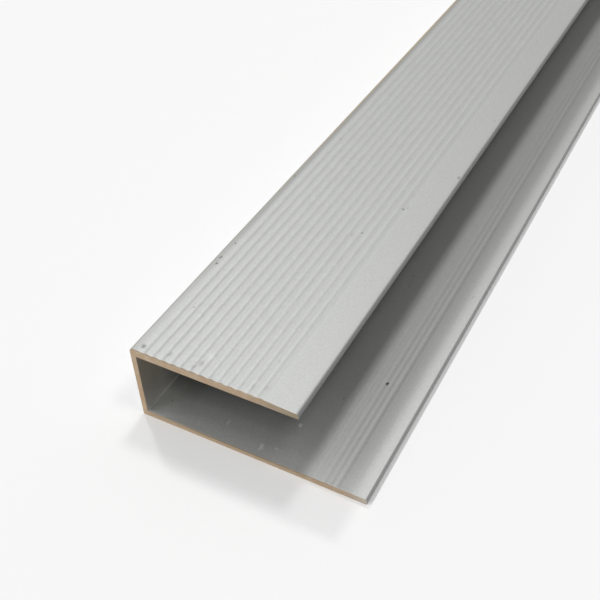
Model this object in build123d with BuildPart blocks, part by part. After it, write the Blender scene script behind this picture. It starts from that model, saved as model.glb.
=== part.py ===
from build123d import *
import math
import os

# Driving dimensions, in millimetres
# Overall section and stock length
length = 900.0
overall_height = 10.0
top_width = 19.5
bottom_width = 26.6

# Walls: the top wall is measured at the web, from its underside to the crests of the ribs,
# and the slot fall is how far its underside comes down on the way to the nose
web_thickness = 0.65
bottom_thickness = 0.75
top_thickness = 1.04
slot_fall = 0.08

# Ribs on the top wall: the first crest is measured from the web's outer face, the fall is from
# the first crest to the last, and the smooth strip is the least width left plain beside the nose
rib_pitch = 1.1
rib_height = 0.08
rib_fall = 0.14
first_crest = 1.05
smooth_strip = 4.0

# The nose, where the smooth strip runs down to a thinner free edge
nose_thickness = 0.65
nose_upper_radius = 0.4
nose_lower_radius = 0.2

# Rounded corners of the web and of the bottom wall's free edge
web_top_radius = 0.5
web_bottom_radius = 0.2
inner_radius = 0.15
tip_upper_radius = 0.2
tip_lower_radius = 0.1

# Levels worked out from the walls
slot_top = overall_height - top_thickness
nose_bottom = slot_top - slot_fall
nose_top = nose_bottom + nose_thickness

# The ribs are a wave of equal arcs, each meeting the next one tangentially.
# A quarter wave is a quarter pitch long and half a rib high, which gives the arc's angle and radius.
quarter_pitch = rib_pitch / 4
rib_angle = 2 * math.degrees(math.atan2(rib_height / 2, quarter_pitch))
rib_radius = quarter_pitch / math.sin(math.radians(rib_angle))
valley_count = int((top_width - first_crest - smooth_strip) / rib_pitch)
wave_turns = [-rib_angle] + [2 * rib_angle, -2 * rib_angle] * valley_count + [rib_angle]
fall_angle = math.atan2(rib_fall, valley_count * rib_pitch)

# The section stands across the middle of the length, measured from the web's outer face
section_plane = Plane(origin=(-bottom_width / 2, 0, 0), x_dir=(1, 0, 0), z_dir=(0, -1, 0))

# End profile: a ribbed top wall, a web down its back edge and a wider bottom wall, in one extrusion
with BuildPart() as end_profile:
    with BuildSketch(section_plane) as section:
        with BuildLine() as outline:
            # Ribbed stretch, from the first crest to the foot of the smooth strip
            crest_start = Vector(first_crest, overall_height)
            point = crest_start
            heading = Vector(math.cos(fall_angle), -math.sin(fall_angle))
            for turn in wave_turns:
                arc = JernArc(start=point, tangent=heading, radius=rib_radius, arc_size=turn)
                point = arc @ 1
                heading = arc % 1
            # Smooth strip, nose, slot, bottom wall and web, with every corner rounded
            FilletPolyline(
                point,
                (top_width, nose_top),
                (top_width, nose_bottom),
                (web_thickness, slot_top),
                (web_thickness, bottom_thickness),
                (bottom_width, bottom_thickness),
                (bottom_width, 0),
                (0, 0),
                (0, overall_height),
                crest_start,
                radius=[
                    nose_upper_radius,
                    nose_lower_radius,
                    inner_radius,
                    inner_radius,
                    tip_upper_radius,
                    tip_lower_radius,
                    web_bottom_radius,
                    web_top_radius,
                ],
            )
        make_face()
    extrude(amount=length / 2, both=True)

end_profile.part.label = "end_profile"

os.makedirs("parts", exist_ok=True)
export_step(end_profile.part, "parts/end_profile.step")
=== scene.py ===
import math

import bpy
import numpy as np
from mathutils import Matrix, Vector


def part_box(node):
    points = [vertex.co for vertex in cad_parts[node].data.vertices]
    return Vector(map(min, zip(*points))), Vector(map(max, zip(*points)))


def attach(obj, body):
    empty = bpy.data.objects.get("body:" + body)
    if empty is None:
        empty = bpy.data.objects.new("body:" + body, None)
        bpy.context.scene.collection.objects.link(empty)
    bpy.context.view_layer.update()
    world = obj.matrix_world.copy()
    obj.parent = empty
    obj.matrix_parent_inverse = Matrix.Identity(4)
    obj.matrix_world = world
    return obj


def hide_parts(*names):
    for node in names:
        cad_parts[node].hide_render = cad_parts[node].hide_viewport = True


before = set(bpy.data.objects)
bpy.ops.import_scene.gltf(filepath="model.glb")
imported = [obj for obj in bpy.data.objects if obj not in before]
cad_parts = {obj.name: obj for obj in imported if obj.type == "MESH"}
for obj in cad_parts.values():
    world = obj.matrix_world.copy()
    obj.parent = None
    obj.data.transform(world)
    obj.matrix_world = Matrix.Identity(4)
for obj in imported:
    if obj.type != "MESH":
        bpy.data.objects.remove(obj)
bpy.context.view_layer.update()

# End profile
# One aluminium extrusion: a ribbed top wall, a thin web and a wider bottom wall, pushed through one die,
# then etched, clear anodised and sawn to length. It lies loose on its bottom wall.
MM = 0.001
low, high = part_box("end_profile")
web_outer = low.x
near_end = low.y
far_end = high.y
overall_height = high.z
bottom_width = high.x - low.x
top_width = 19.5 * MM
web_thickness = 0.65 * MM
bottom_thickness = 0.75 * MM
top_thickness = 1.04 * MM
nose_thickness = 0.65 * MM
slot_fall = 0.08 * MM
slot_top = overall_height - top_thickness
nose_bottom = slot_top - slot_fall
nose_top = nose_bottom + nose_thickness
rib_pitch = 1.1 * MM
rib_height = 0.08 * MM
rib_fall = 0.14 * MM
first_crest = 1.05 * MM
valley_count = 13
nose_upper_radius = 0.4 * MM
nose_lower_radius = 0.2 * MM
inner_radius = 0.15 * MM
tip_upper_radius = 0.2 * MM
tip_lower_radius = 0.1 * MM
web_bottom_radius = 0.2 * MM
web_top_radius = 0.5 * MM


def crest_drop(distance):
    """How far the line of the crests has come down at a distance from the first one: an even fall."""
    return rib_fall * distance / (valley_count * rib_pitch)


def rib_wave(distance):
    """Height of the ribs at a distance from the first crest: equal arcs that meet tangentially, turned down
    for half a pitch about each crest and up for half a pitch about each valley between, less the drop of
    the crests."""
    quarter = rib_pitch / 4
    arc_angle = 2 * math.atan2(rib_height / 2, quarter)
    arc_radius = quarter / math.sin(arc_angle)
    from_crest = np.abs((distance + rib_pitch / 2) % rib_pitch - rib_pitch / 2)
    from_valley = rib_pitch / 2 - from_crest
    crest = overall_height - arc_radius + np.sqrt(np.maximum(arc_radius**2 - from_crest**2, 0))
    valley_centre = overall_height - rib_height + arc_radius
    valley = valley_centre - np.sqrt(np.maximum(arc_radius**2 - from_valley**2, 0))
    return np.where(from_crest < quarter, crest, valley) - crest_drop(distance)


def rounded_corner(before, corner, after, radius, steps=10):
    """Points of the arc that rounds a corner. It touches both runs, and its centre lies on their bisector,
    the radius over the sine of the half angle away from the corner."""
    before, corner, after = (np.array(point, float) for point in (before, corner, after))
    towards_before = (before - corner) / np.linalg.norm(before - corner)
    towards_after = (after - corner) / np.linalg.norm(after - corner)
    half_angle = math.acos(towards_before @ towards_after) / 2
    bisector = towards_before + towards_after
    centre = corner + bisector / np.linalg.norm(bisector) * radius / math.sin(half_angle)
    touch = radius / math.tan(half_angle)
    first = corner + towards_before * touch - centre
    last = corner + towards_after * touch - centre
    turn = math.atan2(first[0] * last[1] - first[1] * last[0], first @ last)
    angle = math.atan2(first[1], first[0]) + turn * np.linspace(0, 1, steps + 1)
    return centre + radius * np.stack([np.cos(angle), np.sin(angle)], axis=1)


def run(start, end, steps):
    """Points between two arcs, evenly spaced, but with the first and the last added close to the arcs, so
    that flat faces shade flat."""
    close_by = 0.02 * MM
    margin = close_by / np.linalg.norm(end - start)
    share = np.concatenate([[margin], np.linspace(0, 1, steps + 1)[1:-1], [1 - margin]])
    return start + (end - start) * share[:, None]


# The outline follows the ribs to the nose, goes back through the slot to the web, out along the bottom wall
# to its tip, home along the underside and up the web. Each corner has its place, its radius and the steps of
# the run to it. The bottom wall's upper face has the most, for the lines in it.
rib_steps = 16
half_pitches = 2 * valley_count + 1
from_first = np.linspace(0, half_pitches * rib_pitch / 2, half_pitches * rib_steps // 2 + 1)
ribs = np.stack([first_crest + from_first, rib_wave(from_first)], axis=1)
corners = [
    ((top_width, nose_top), nose_upper_radius, 6),
    ((top_width, nose_bottom), nose_lower_radius, 2),
    ((web_thickness, slot_top), inner_radius, 8),
    ((web_thickness, bottom_thickness), inner_radius, 6),
    ((bottom_width, bottom_thickness), tip_upper_radius, 640),
    ((bottom_width, 0), tip_lower_radius, 2),
    ((0, 0), web_bottom_radius, 10),
    ((0, overall_height), web_top_radius, 6),
]
closing_steps = 2
stops = [ribs[-1]] + [corner for corner, radius, steps in corners] + [ribs[0]]
stretches = [ribs]
for i, (corner, radius, steps) in enumerate(corners):
    arc = rounded_corner(stops[i], corner, stops[i + 2], radius)
    stretches += [run(stretches[-1][-1], arc[0], steps), arc]
stretches.append(run(stretches[-1][-1], ribs[0], closing_steps))
outline = np.concatenate(stretches)


def bell(distance, half_width):
    """A bell curve: e to the power of minus half the square of the distance over the half width."""
    return np.exp(-0.5 * (distance / half_width) ** 2)


# Lines drawn by the die into the upper face of the bottom wall, each a shallow bell curve. The three deepest
# look like guides for drilling.
die_lines = np.array([20.3, 20.8, 21.25, 21.88, 22.57, 23.26, 23.85, 24.85]) * MM
die_depths = np.array([0.004, 0.004, 0.004, 0.013, 0.018, 0.032, 0.005, 0.004]) * MM
die_half_widths = np.array([0.08, 0.08, 0.08, 0.17, 0.17, 0.22, 0.08, 0.08]) * MM
deepest_line = die_lines[die_depths.argmax()]
upper_face = np.isclose(outline[:, 1], bottom_thickness)
from_lines = outline[upper_face, 0][:, None] - die_lines
outline[upper_face, 1] -= (die_depths * bell(from_lines, die_half_widths)).sum(axis=1)

# The saw's burr was eased by hand, more in some places than in others, and little on the bottom wall's upper
# face. The easing is drawn at random at knots along the outline, with a smooth step from one to the next.
burr = 0.03 * MM
burr_seed = 4
least_easing = 0.5
most_easing = 1.5
upper_face_easing = 0.3
knot_spacing = 7
rng = np.random.default_rng(burr_seed)
knot_easing = rng.uniform(least_easing, most_easing, len(outline) // knot_spacing + 2)
knot_before, past_knot = np.divmod(np.arange(len(outline)), knot_spacing)
blend = past_knot / knot_spacing
blend = blend**2 * (3 - 2 * blend)
easing = knot_easing[knot_before] * (1 - blend) + knot_easing[knot_before + 1] * blend
easing[upper_face] *= upper_face_easing

# The outline is carried along the length, and its first and last rings stand in by the easing. Next to them
# are rings that keep the faces flat and rings at the depths where the slot's painted light and shade change.
tangent = np.roll(outline, -1, axis=0) - np.roll(outline, 1, axis=0)
tangent /= np.linalg.norm(tangent, axis=1, keepdims=True)
outward = np.stack([-tangent[:, 1], tangent[:, 0]], axis=1)
beside_burr = 0.05 * MM
slot_depths = np.array([1.5, 3.3, 5.7]) * MM
length_steps = 36
end_rings = np.concatenate([[0, burr, burr + beside_burr], slot_depths])
between = np.linspace(near_end, far_end, length_steps + 1)[1:-1]
stations = np.concatenate([near_end + end_rings, between, far_end - end_rings[::-1]])
inset = np.zeros((len(stations), len(outline), 1))
inset[[0, -1], :, 0] = burr * easing
rings = outline - inset * outward
points = np.empty((len(stations), len(outline), 3))
points[..., 0] = web_outer + rings[..., 0]
points[..., 1] = stations[:, None]
points[..., 2] = rings[..., 1]
number = np.arange(len(stations) * len(outline)).reshape(len(stations), len(outline))
next_number = np.roll(number, -1, axis=1)
sides = np.stack([number[:-1], next_number[:-1], next_number[1:], number[1:]], axis=-1).reshape(-1, 4)
ends = [number[0, ::-1].tolist(), number[-1].tolist()]
profile_mesh = bpy.data.meshes.new("ribbed_profile")
profile_mesh.from_pydata(points.reshape(-1, 3).tolist(), [], sides.tolist() + ends)

# The two end faces shade flat. They and the eased burr round them are bare metal, the second material.
smooth = np.ones(len(profile_mesh.polygons), bool)
smooth[-len(ends) :] = False
profile_mesh.polygons.foreach_set("use_smooth", smooth)
sawn_faces = np.zeros(len(profile_mesh.polygons), np.int32)
sawn_faces[: len(outline)] = 1
sawn_faces[-len(outline) - len(ends) :] = 1
profile_mesh.polygons.foreach_set("material_index", sawn_faces)
profile = bpy.data.objects.new("ribbed_profile", profile_mesh)
bpy.context.scene.collection.objects.link(profile)


def ramp(value, start, full):
    """A share that grows evenly from nothing at the start to one at the full value, and is level beyond."""
    return np.clip((value - start) / (full - start), 0, 1)


# How bright the skin is, against its plain tone, at each point of the outline and each station: painted light
# and shade. The ribs get painted light and shade, lighter in their valleys and on the sides that face the
# nose, less so at the near end.
across = outline[:, 0]
height = outline[:, 1]
from_near = stations - near_end
from_nearest = np.minimum(from_near, far_end - stations)
rib_shading_lead = 0.1 * MM
rib_shading_overtone = 0.3
wave = 2 * math.pi * (from_first + rib_shading_lead) / rib_pitch
rib_painted_shading = np.zeros(len(outline))
rib_painted_shading[: len(ribs)] = -np.cos(wave) - rib_shading_overtone * np.cos(2 * wave)
rib_shading_share = np.interp(from_near, np.array([0, 25, 75]) * MM, [0.034, 0.058, 0.048])
brightness = 1 + np.outer(rib_shading_share, rib_painted_shading)

# The slot's floor gets painted light beside the web, and painted shade further from the ends, on the floor
# and on the web. The web's inner face gets painted shade, more so towards the top under the top wall. The
# slack takes in the lines of the die and the roundings beside a face.
slack = 0.1 * MM
in_slot = (across >= web_thickness) & (height >= bottom_thickness - slack) & (height <= slot_top)
web_face = in_slot & (across < web_thickness + slack)
slot_floor = in_slot & (height < bottom_thickness + slack)
slot_foot = web_face & slot_floor
floor_light_places = np.array([2.2, 3.1, 4.2, 6]) * MM
floor_painted_light = slot_floor * np.interp(across, floor_light_places, [0.37, 0.22, 0.06, 0])
floor_light_share = np.interp(from_nearest, [0, *slot_depths], [0.2, 1.05, 1.0, 0.8])
brightness *= 1 + np.outer(floor_light_share, floor_painted_light)
slot_shade_places = np.array([3, 5.5, 8.5, 14.5, 17]) * MM
slot_painted_shade = (slot_floor | web_face) * np.interp(across, slot_shade_places, [0.38, 0.32, 0.27, 0.21, 0])
slot_shade_share = ramp(from_nearest, slot_depths[1], slot_depths[2])
brightness *= 1 - np.outer(slot_shade_share, slot_painted_shade)
web_shade_heights = np.array([0.9, 1.3, 2, 3, 4, 7]) * MM
web_painted_shade = web_face * np.interp(height, web_shade_heights, [0, 0.08, 0.2, 0.3, 0.36, 0.42])

# The rounded nose and tip and the slot's inner corner between web and floor get painted shade, and the bottom
# wall is a little darker about its deepest die line. Each of these places takes its share off the brightness.
past_nose = across - top_width + nose_top - height
nose_shade_width = 0.6 * MM
nose_shade_start = -0.48 * MM
nose_shade_full = 0.72 * MM
nose_side = ramp(across, top_width - nose_shade_width, top_width - nose_shade_width / 2)
nose_side *= height > overall_height / 2
nose_painted_shade = nose_side * ramp(past_nose, nose_shade_start, nose_shade_full)
tip_painted_shade = ramp(across, bottom_width - tip_upper_radius, bottom_width)
darkening_reach = 1.1 * MM
deep_line_darkening = in_slot * bell(across - deepest_line, darkening_reach)
darkenings = [(0.92, nose_painted_shade), (0.38, tip_painted_shade), (1, web_painted_shade), (0.12, slot_foot), (0.08, deep_line_darkening)]
for darkening_share, darkened_place in darkenings:
    brightness *= 1 - darkening_share * darkened_place

# The outer top corner's rounding gets painted shade too, hardly at the near end and most some way along.
corner_shade_low = overall_height - 0.4 * MM
corner_shade_high = overall_height - 0.15 * MM
corner_shade_inner = first_crest + 0.09 * MM
corner_shade_outer = first_crest - 0.21 * MM
corner_painted_shade = ramp(height, corner_shade_low, corner_shade_high) * ramp(across, corner_shade_inner, corner_shade_outer)
corner_shade_stations = np.array([5, 15, 27, 45, 65, 85]) * MM
corner_shade_share = np.interp(from_near, corner_shade_stations, [0.1, 0.16, 0.24, 0.31, 0.29, 0.22])
brightness *= 1 - np.outer(corner_shade_share, corner_painted_shade)

# How far that corner's rounding takes a painted warm reflection, again most some way along.
reflection_low = overall_height - 0.5 * MM
reflection_high = overall_height - 0.3 * MM
reflection_inner = 0.6 * MM
reflection_outer = 0.3 * MM
corner_painted_reflection = ramp(height, reflection_low, reflection_high) * ramp(across, reflection_inner, reflection_outer)
reflection_stations = np.array([5, 27, 45, 65, 110, 170]) * MM
reflection_share = np.interp(from_near, reflection_stations, [0.04, 0.2, 0.6, 1.0, 1.0, 0.0])

# How far the web's inner face takes a painted warm reflection, most under the top wall.
web_reflection_heights = np.array([1, 3, 5, 7]) * MM
web_painted_reflection = web_face * np.interp(height, web_reflection_heights, [0.2, 0.35, 0.7, 1])
for name, values in (
    ("skin_brightness", brightness.ravel()),
    ("corner_painted_reflection", np.outer(reflection_share, corner_painted_reflection).ravel()),
    ("web_painted_reflection", np.tile(web_painted_reflection, len(stations))),
):
    attribute = profile_mesh.attributes.new(name, "FLOAT", "POINT")
    attribute.data.foreach_set("value", values.astype(np.float32))


def linear(hex_colour):
    """A colour written as sRGB hex, turned to linear: each channel over 255, then the sRGB curve undone."""
    channel = np.array([int(hex_colour[i : i + 2], 16) for i in (1, 3, 5)]) / 255
    value = np.where(channel <= 0.04045, channel / 12.92, ((channel + 0.055) / 1.055) ** 2.4)
    return (*value, 1.0)


def node(tree, kind, settings=None, links=None):
    """Adds a node, sets its properties and its inputs' values by name or number, and links its inputs."""
    made = tree.nodes.new(kind)
    for key, value in (settings or {}).items():
        if isinstance(key, int) or key in made.inputs:
            made.inputs[key].default_value = value
        else:
            setattr(made, key, value)
    for key, output in (links or {}).items():
        tree.links.new(output, made.inputs[key])
    return made


# Satin anodised aluminium: etched matt before anodising, so it gives a soft grey sheen with no clear mirror
# image, a fine grain, and faint streaks along the length where it slid over the die. The real grain is too
# fine to show, so it is drawn coarser.
skin = bpy.data.materials.new("satin_anodised_aluminium_extruded")
skin.use_nodes = True
skin_tree = skin.node_tree
skin_tree.nodes.clear()
skin_place = node(skin_tree, "ShaderNodeTexCoord").outputs["Object"]
streak_width = 0.25 * MM
streak_length = 60 * MM
streak_map = node(
    skin_tree,
    "ShaderNodeMapping",
    {"Scale": (1 / streak_width, 1 / streak_length, 1 / streak_width)},
    {"Vector": skin_place},
)
streaks = node(
    skin_tree,
    "ShaderNodeTexNoise",
    {"Scale": 1.0, "Detail": 4.0},
    {"Vector": streak_map.outputs["Vector"]},
)
grain_size = 0.2 * MM
grain = node(
    skin_tree,
    "ShaderNodeTexNoise",
    {"Scale": 1 / grain_size, "Detail": 2.0},
    {"Vector": skin_place},
)
streak_share = 0.6
relief_depth = 0.002 * MM
relief = node(
    skin_tree,
    "ShaderNodeMath",
    {"operation": "MULTIPLY_ADD", 1: streak_share},
    {0: streaks.outputs["Fac"], 2: grain.outputs["Fac"]},
)
skin_bump = node(
    skin_tree,
    "ShaderNodeBump",
    {"Strength": 1.0, "Distance": relief_depth},
    {"Height": relief.outputs["Value"]},
)
mottle = node(
    skin_tree,
    "ShaderNodeMix",
    {"data_type": "RGBA", 6: linear("#C2C3C1"), 7: linear("#DCDDDB")},
    {0: grain.outputs["Fac"]},
)
# The skin's tone times its painted light and shade, read from the mesh.
brightness_here = node(skin_tree, "ShaderNodeAttribute", {"attribute_name": "skin_brightness"})
painted_light_tone = node(
    skin_tree,
    "ShaderNodeMix",
    {"data_type": "RGBA", "blend_type": "MULTIPLY", 0: 1.0},
    {6: mottle.outputs[2], 7: brightness_here.outputs["Fac"]},
)
# The web's painted warm reflection.
web_reflection_here = node(skin_tree, "ShaderNodeAttribute", {"attribute_name": "web_painted_reflection"})
web_reflected = node(
    skin_tree,
    "ShaderNodeMix",
    {"data_type": "RGBA", "blend_type": "MULTIPLY", 7: linear("#FFF0DC")},
    {0: web_reflection_here.outputs["Fac"], 6: painted_light_tone.outputs[2]},
)
# The corner's painted warm reflection.
corner_reflection_here = node(skin_tree, "ShaderNodeAttribute", {"attribute_name": "corner_painted_reflection"})
corner_reflected = node(
    skin_tree,
    "ShaderNodeMix",
    {"data_type": "RGBA", 7: linear("#D0BD99")},
    {0: corner_reflection_here.outputs["Fac"], 6: web_reflected.outputs[2]},
)
gloss = node(
    skin_tree,
    "ShaderNodeMapRange",
    {"To Min": 0.56, "To Max": 0.64},
    {"Value": grain.outputs["Fac"]},
)

# Marks of handling: distance from the web's outer face, from the near end and from the floor, width and
# length along the profile, all in millimetres, and how far the mark goes to its full colour.
# Dark ones are rubbed-in dirt and small pits, pale ones are scratches and scuffs down to fresh metal; in the
# shaded slot the pale ones are also painted glints, where the scratches catch the light.
top_level = 9.95
strip_level = 9.65
slot_level = 0.75
dark_marks = [
    (1.23, 0.84, top_level, 0.75, 0.7, 0.42),
    (4.28, 1.0, top_level, 0.4, 1.1, 0.28),
    (7.83, 1.44, top_level, 0.6, 1.1, 0.2),
    (7.3, 0.7, top_level, 0.9, 0.7, 0.14),
    (14.0, 1.04, top_level, 0.5, 0.8, 0.12),
    (15.23, 1.44, top_level, 0.5, 0.9, 0.12),
    (8.65, 3.0, top_level, 0.8, 0.3, 0.14),
    (14.6, 5.1, top_level, 0.35, 0.5, 0.12),
    (4.17, 7.33, top_level, 0.3, 0.5, 0.18),
    (2.57, 8.07, top_level, 0.3, 0.6, 0.22),
    (0.88, 15.3, top_level, 0.35, 0.6, 0.55),
    (0.72, 16.4, top_level, 0.42, 0.5, 0.55),
    (0.9, 19.3, top_level, 0.38, 0.5, 0.55),
    (12.1, 26.6, top_level, 0.3, 0.8, 0.2),
    (13.1, 27.3, top_level, 0.4, 0.5, 0.42),
    (15.5, 33.6, strip_level, 0.42, 0.55, 0.65),
    (15.9, 34.15, strip_level, 0.25, 0.45, 0.35),
    (0.58, 34.1, top_level, 0.35, 0.5, 0.45),
    (15.5, 36.7, strip_level, 0.25, 0.8, 0.16),
    (18.95, 42.9, strip_level, 0.4, 0.9, 0.38),
    (1.88, 44.4, top_level, 0.35, 0.7, 0.2),
    (18.5, 57.5, strip_level, 0.4, 0.9, 0.1),
    (2.25, 2.4, slot_level, 0.4, 0.4, 0.2),
    (18.75, 10.9, slot_level, 0.3, 0.6, 0.22),
    (22.1, 14.9, slot_level, 0.4, 0.6, 0.9),
    (17.75, 30.9, slot_level, 0.35, 0.6, 0.18),
    (17.5, 32.9, slot_level, 0.7, 0.4, 0.18),
    (25.5, 32.3, slot_level, 0.35, 0.6, 0.18),
]
pale_marks = [
    (8.12, 2.73, top_level, 1.1, 1.1, 0.22),
    (6.55, 1.0, slot_level, 0.4, 1.0, 0.2),
    (14.1, 1.1, slot_level, 0.6, 1.4, 0.6),
    (15.7, 1.6, slot_level, 0.55, 0.35, 0.5),
    (9.35, 2.45, slot_level, 0.45, 1.1, 0.6),
    (16.3, 5.5, slot_level, 0.55, 0.65, 1.0),
]

# A mark is a soft spot that fades evenly from its middle, and reaches up and down past the shape of the ribs.
# Noise shifts the places it is read at, so that its edge is ragged, and the gain makes up for what that takes
# off the middle. The noise's mean is a half, so half the wobble is added to the spot's centre.
mark_reach_up = 0.6 * MM
mark_gain = 1.6
wobble = 0.5 * MM
wobble_size = 0.3 * MM
wobble_noise = node(
    skin_tree,
    "ShaderNodeTexNoise",
    {"Scale": 1 / wobble_size, "Detail": 2.0},
    {"Vector": skin_place},
)
ragged_place = node(
    skin_tree,
    "ShaderNodeVectorMath",
    {"operation": "MULTIPLY_ADD", 1: (wobble, wobble, wobble)},
    {0: wobble_noise.outputs["Color"], 2: skin_place},
).outputs["Vector"]
mark_shares = []
for marks in (dark_marks, pale_marks):
    mark_share = None
    for mark_across, mark_along, mark_level, mark_width, mark_length, mark_strength in marks:
        centre = Vector((web_outer + mark_across * MM, near_end + mark_along * MM, mark_level * MM))
        from_mark = node(
            skin_tree,
            "ShaderNodeMapping",
            {
                "vector_type": "TEXTURE",
                "Location": centre + Vector((wobble, wobble, wobble)) / 2,
                "Scale": (mark_width / 2 * MM, mark_length / 2 * MM, mark_reach_up),
            },
            {"Vector": ragged_place},
        )
        spot = node(
            skin_tree,
            "ShaderNodeTexGradient",
            {"gradient_type": "SPHERICAL"},
            {"Vector": from_mark.outputs["Vector"]},
        )
        total = node(
            skin_tree,
            "ShaderNodeMath",
            {"operation": "MULTIPLY_ADD", 1: mark_gain * mark_strength, 2: 0.0},
            {0: spot.outputs["Fac"]},
        )
        if mark_share:
            skin_tree.links.new(mark_share, total.inputs[2])
        mark_share = total.outputs["Value"]
    mark_shares.append(mark_share)
dirty = node(
    skin_tree,
    "ShaderNodeMix",
    {"data_type": "RGBA", 7: linear("#3C3935")},
    {0: mark_shares[0], 6: corner_reflected.outputs[2]},
)
# Pale marks: fresh metal, and in the slot also painted glints.
marked = node(
    skin_tree,
    "ShaderNodeMix",
    {"data_type": "RGBA", 7: linear("#F2F2F0")},
    {0: mark_shares[1], 6: dirty.outputs[2]},
)
skin_shader = node(
    skin_tree,
    "ShaderNodeBsdfPrincipled",
    {"Metallic": 1.0},
    {
        "Base Color": marked.outputs[2],
        "Roughness": gloss.outputs["Result"],
        "Normal": skin_bump.outputs["Normal"],
    },
)
node(skin_tree, "ShaderNodeOutputMaterial", links={"Surface": skin_shader.outputs["BSDF"]})
profile_mesh.materials.append(skin)

# Bare sawn aluminium: the blade's fine scratches, which run up and down, make it duller than the skin. Its
# warm tan, with paler patches, is a painted reflection of warm surroundings. The scratches are too fine to
# show, so they are drawn coarser.
sawn = bpy.data.materials.new("bare_aluminium_sawn")
sawn.use_nodes = True
sawn_tree = sawn.node_tree
sawn_tree.nodes.clear()
sawn_place = node(sawn_tree, "ShaderNodeTexCoord").outputs["Object"]
scratch_width = 0.12 * MM
scratch_length = 0.8 * MM
scratch_depth = 0.004 * MM
scratch_map = node(
    sawn_tree,
    "ShaderNodeMapping",
    {"Scale": (1 / scratch_width, 1 / scratch_width, 1 / scratch_length)},
    {"Vector": sawn_place},
)
scratches = node(
    sawn_tree,
    "ShaderNodeTexNoise",
    {"Scale": 1.0, "Detail": 2.0},
    {"Vector": scratch_map.outputs["Vector"]},
)
sawn_bump = node(
    sawn_tree,
    "ShaderNodeBump",
    {"Strength": 1.0, "Distance": scratch_depth},
    {"Height": scratches.outputs["Fac"]},
)
scratched_warm_reflection = node(
    sawn_tree,
    "ShaderNodeMix",
    {"data_type": "RGBA", 6: linear("#B7A087"), 7: linear("#C6AF94")},
    {0: scratches.outputs["Fac"]},
)
patch_size = 1.2 * MM
patches = node(
    sawn_tree,
    "ShaderNodeTexNoise",
    {"Scale": 1 / patch_size, "Detail": 2.0},
    {"Vector": sawn_place},
)
patch_share = node(
    sawn_tree,
    "ShaderNodeMapRange",
    {"From Min": 0.45, "From Max": 0.65, "To Max": 0.7},
    {"Value": patches.outputs["Fac"]},
)
end_tone = node(
    sawn_tree,
    "ShaderNodeMix",
    {"data_type": "RGBA", 7: linear("#C9BBA4")},
    {0: patch_share.outputs["Result"], 6: scratched_warm_reflection.outputs[2]},
)

# The sawn ends are uneven in tone: both walls go greyer towards their free edges and the web is a little
# browner, within the painted warm reflection; the bottom wall is paler, which is painted light, and both
# walls are darker along their upper edges, which is painted shade. Each place has its distance from the web's
# outer face and from the floor, its reach across and up, and its colour. The reach along the length is so
# long that the distance along it hardly counts.
reach_along = 10 * far_end
end_tones = [
    (top_width, nose_bottom, 6 * MM, 6 * MM, "#A09480"),
    (web_thickness / 2, 3 * MM, 1.2 * MM, 5 * MM, "#BCA284"),
    # Painted light on the bottom wall's end.
    (7 * MM, 0.0, 20 * MM, 2.5 * MM, "#CFBBA0"),
    # Painted shade along the upper edges of both walls.
    (12 * MM, bottom_thickness, 15 * MM, 0.32 * MM, "#7C766D"),
    (8 * MM, overall_height, 12 * MM, 0.25 * MM, "#80746A"),
    (bottom_width, 0.0, 3 * MM, 3 * MM, "#C9C3B8"),
]
for tone_across, tone_level, reach_across, reach_up, colour in end_tones:
    from_tone = node(
        sawn_tree,
        "ShaderNodeMapping",
        {
            "vector_type": "TEXTURE",
            "Location": (web_outer + tone_across, 0, tone_level),
            "Scale": (reach_across, reach_along, reach_up),
        },
        {"Vector": sawn_place},
    )
    tone_share = node(
        sawn_tree,
        "ShaderNodeTexGradient",
        {"gradient_type": "SPHERICAL"},
        {"Vector": from_tone.outputs["Vector"]},
    )
    end_tone = node(
        sawn_tree,
        "ShaderNodeMix",
        {"data_type": "RGBA", 7: linear(colour)},
        {0: tone_share.outputs["Fac"], 6: end_tone.outputs[2]},
    )
sawn_shader = node(
    sawn_tree,
    "ShaderNodeBsdfPrincipled",
    {"Metallic": 1.0, "Roughness": 0.55},
    {"Base Color": end_tone.outputs[2], "Normal": sawn_bump.outputs["Normal"]},
)
node(sawn_tree, "ShaderNodeOutputMaterial", links={"Surface": sawn_shader.outputs["BSDF"]})
profile_mesh.materials.append(sawn)

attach(profile, "root")
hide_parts("end_profile")

# Floor
# A plain sheet of matt white paper that the profile lies on, wide enough to fill the view from every side.
# It isn't part of the object.
floor_reach = 30.0
floor_mesh = bpy.data.meshes.new("floor")
floor_corners = np.array([[-1, -1, 0], [1, -1, 0], [1, 1, 0], [-1, 1, 0]]) * floor_reach
floor_mesh.from_pydata(floor_corners.tolist(), [], [[0, 1, 2, 3]])
floor = bpy.data.objects.new("floor", floor_mesh)
bpy.context.scene.collection.objects.link(floor)

# Matt white paper: it scatters light evenly, so it gives plain white with soft shadows and no sheen.
paper = bpy.data.materials.new("matt_white_paper")
paper.use_nodes = True
paper_tree = paper.node_tree
paper_tree.nodes.clear()
paper_shader = node(paper_tree, "ShaderNodeBsdfDiffuse", {"Color": linear("#FFFFFF")})
node(paper_tree, "ShaderNodeOutputMaterial", links={"Surface": paper_shader.outputs["BSDF"]})
floor_mesh.materials.append(paper)

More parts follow.
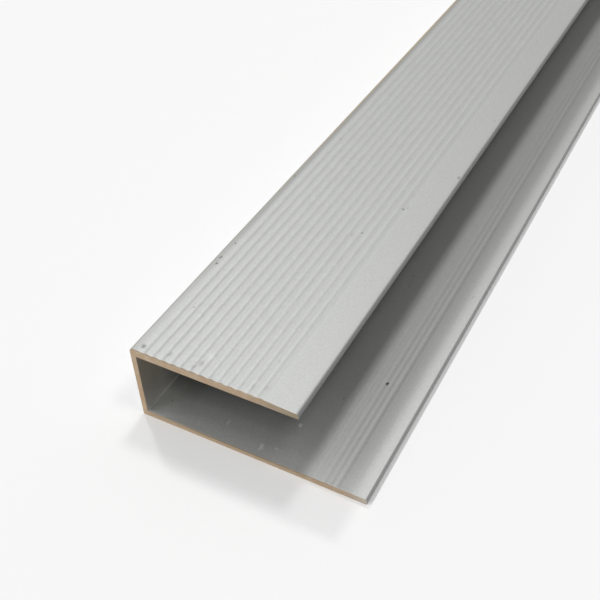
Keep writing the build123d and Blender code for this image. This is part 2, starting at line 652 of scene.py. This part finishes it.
# Light
# A soft lamp overhead, a row of them at the web's side, one at the open side and a dim room around them.
# Each lamp has its tilt towards the web, its lean towards the far end and its spread, in degrees, and its
# strength. One that leans is made narrower, so that its shadows across the profile stay as soft.
lamps = [
    ("overhead_lamp", 2, 24, 11, 0.47),
    ("side_lamp_1", 33.9, -50, 6.5, 0.25),
    ("side_lamp_2", 33.9, -40, 6.5, 0.25),
    ("side_lamp_3", 33.9, -30, 6.5, 0.25),
    ("side_lamp_4", 33.9, -20, 6.5, 0.25),
    ("side_lamp_5", 33.9, -10, 6.5, 0.25),
    ("side_lamp_6", 33.9, 24, 6.5, 0.44),
    ("fill_lamp", -24, 0, 14, 0.42),
]
for name, tilt, lean, spread, strength in lamps:
    sideways = math.radians(tilt)
    along = math.radians(lean)
    towards = Vector(
        (-math.sin(sideways) * math.cos(along), math.sin(along), math.cos(sideways) * math.cos(along))
    )
    lamp_data = bpy.data.lights.new(name, "SUN")
    lamp_data.energy = strength
    lamp_data.angle = math.radians(spread) * math.cos(along)
    lamp = bpy.data.objects.new(name, lamp_data)
    lamp.rotation_mode = "QUATERNION"
    lamp.rotation_quaternion = towards.to_track_quat("Z", "Y")
    bpy.context.scene.collection.objects.link(lamp)
room_strength = 0.295
room = bpy.data.worlds.new("room")
room.use_nodes = True
room.node_tree.nodes["Background"].inputs["Color"].default_value = linear("#FFFFFF")
room.node_tree.nodes["Background"].inputs["Strength"].default_value = room_strength
bpy.context.scene.world = room

# Camera
# It stands in front of the near end, on the open side and above, and looks back along the profile.
frame_pixels = 600
focal_pixels = 913.9
eye_across = 48.57 * MM
eye_before = 48.57 * MM
eye_height = 74.29 * MM
eye = Vector((web_outer + eye_across, near_end - eye_before, eye_height))
azimuth = math.radians(30.207)
elevation = math.radians(41.652)
roll = math.radians(-2.99)
forward = Vector(
    (-math.sin(azimuth) * math.cos(elevation), math.cos(azimuth) * math.cos(elevation), -math.sin(elevation))
)
level_right = Vector((math.cos(azimuth), math.sin(azimuth), 0))
level_up = level_right.cross(forward)
right = level_right * math.cos(roll) + level_up * math.sin(roll)
up = level_up * math.cos(roll) - level_right * math.sin(roll)
camera_data = bpy.data.cameras.new("camera")
camera_data.sensor_width = 36
camera_data.lens = camera_data.sensor_width * focal_pixels / frame_pixels
camera_data.clip_start = 1 * MM
camera = bpy.data.objects.new("camera", camera_data)
camera.matrix_world = Matrix.Translation(eye) @ Matrix((right, up, -forward)).transposed().to_4x4()
bpy.context.scene.collection.objects.link(camera)
bpy.context.scene.camera = camera
bpy.context.scene.view_settings.view_transform = "Standard"
